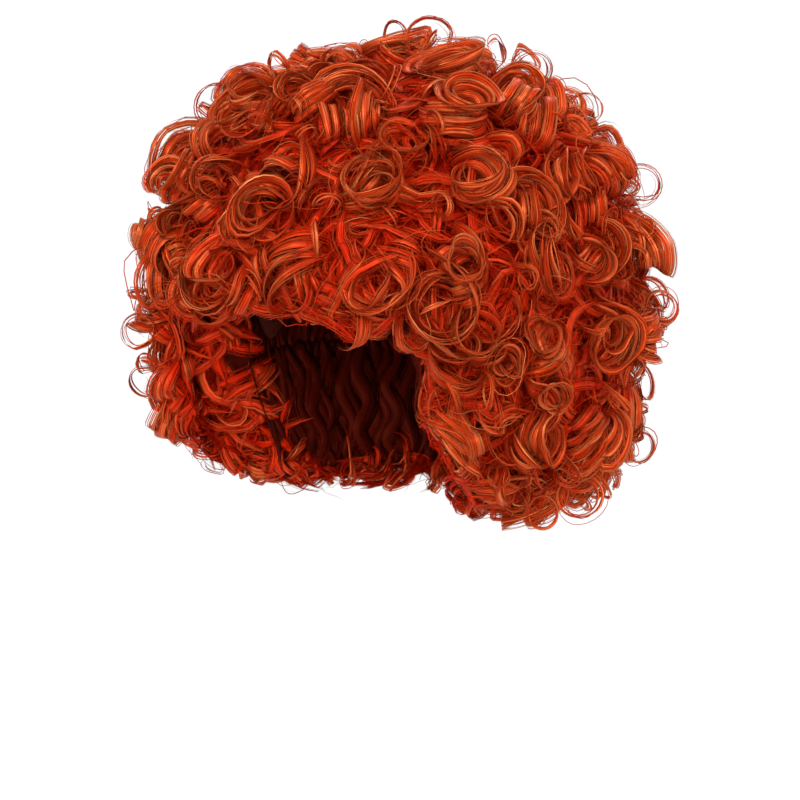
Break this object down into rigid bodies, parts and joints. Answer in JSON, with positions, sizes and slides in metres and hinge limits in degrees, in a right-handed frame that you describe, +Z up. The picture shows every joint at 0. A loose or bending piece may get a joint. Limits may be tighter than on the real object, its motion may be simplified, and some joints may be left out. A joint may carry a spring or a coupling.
{
  "type": "curly wig",
  "caption": "Short, full wig of loose spiral curls on a stretch cap, with a curly fringe, rounded sides and an open face and neck.",
  "frame": {"origin": "the point inside the cap that rests on the crown of the head", "axes": "+Z up through the crown, the face looks towards -Y, the wearer's left is +X"},
  "size_m": [0.2923, 0.293, 0.2708],
  "materials": {
    "hair": "glossy synthetic fibre in curled locks",
    "cap": "matt stretch knit"
  },
  "bodies": {
    "root": {"cap": "cap", "crown_curls": "hair", "forelock_curls": "hair", "fringe_curls": "hair", "temple_curls_left": "hair", "temple_curls_right": "hair", "side_curls_left": "hair", "side_curls_right": "hair", "cheek_curls_left": "hair", "cheek_curls_right": "hair", "upper_back_curls_left": "hair", "upper_back_curls_right": "hair", "lower_back_curls_left": "hair", "lower_back_curls_right": "hair", "nape_curls_left": "hair", "nape_curls_right": "hair"}
  },
  "joints": []
}
